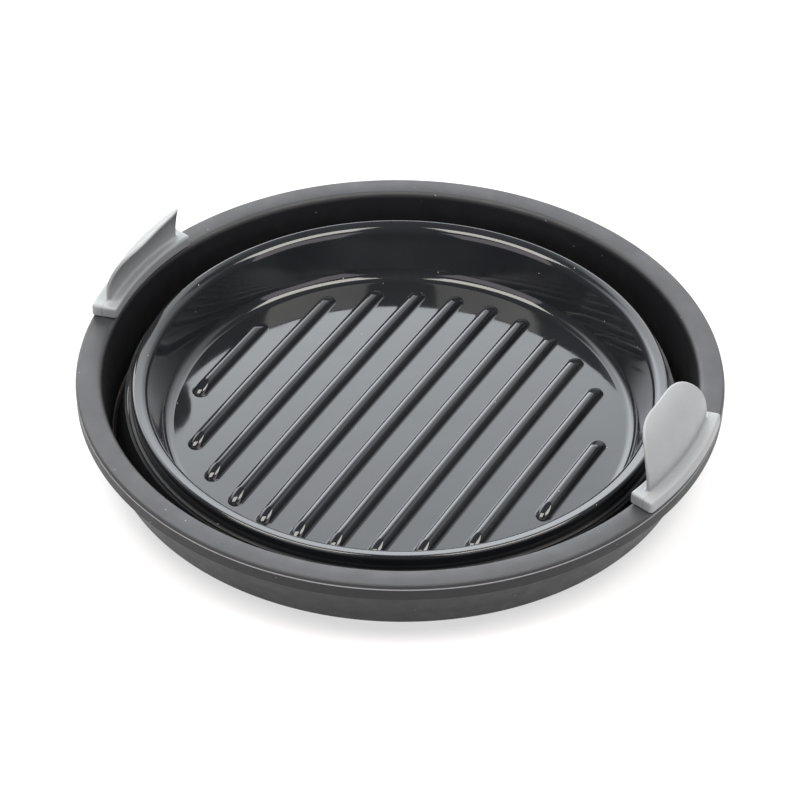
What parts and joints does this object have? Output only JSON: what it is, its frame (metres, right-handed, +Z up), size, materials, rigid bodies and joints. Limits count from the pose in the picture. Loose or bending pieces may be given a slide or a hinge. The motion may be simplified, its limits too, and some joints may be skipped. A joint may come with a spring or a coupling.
{
  "type": "folding wash basin",
  "caption": "Round folding wash basin with a rigid ribbed washboard tray, a soft fold-down wall, a stiffened rim and curled lifting grips.",
  "frame": {"origin": "on the table, under the middle of the basin", "axes": "+Z up; the ribs run along Y; the grips stand on the rim at -X (left) and +X (right)"},
  "size_m": [0.321, 0.3208, 0.0717],
  "materials": {
    "tray_plastic": "polished dark slate grey",
    "soft_rubber": "fine matte mid grey",
    "hoop_plastic": "plain moulded grey",
    "grip_plastic": "satin light grey"
  },
  "bodies": {
    "tray": {"washboard_tray": "tray_plastic", "wall_collar": "soft_rubber", "inner_wall": "soft_rubber"},
    "rim": {"outer_wall": "soft_rubber", "rim_cover": "soft_rubber", "rim_hoop": "hoop_plastic", "left_grip": "grip_plastic", "right_grip": "grip_plastic"}
  },
  "joints": [
    {"name": "rim_lift", "type": "slide", "parent": "tray", "child": "rim", "axis": [0, 0, 1], "range_m": [0, 0.04], "deforming": ["inner_wall"]}
  ]
}
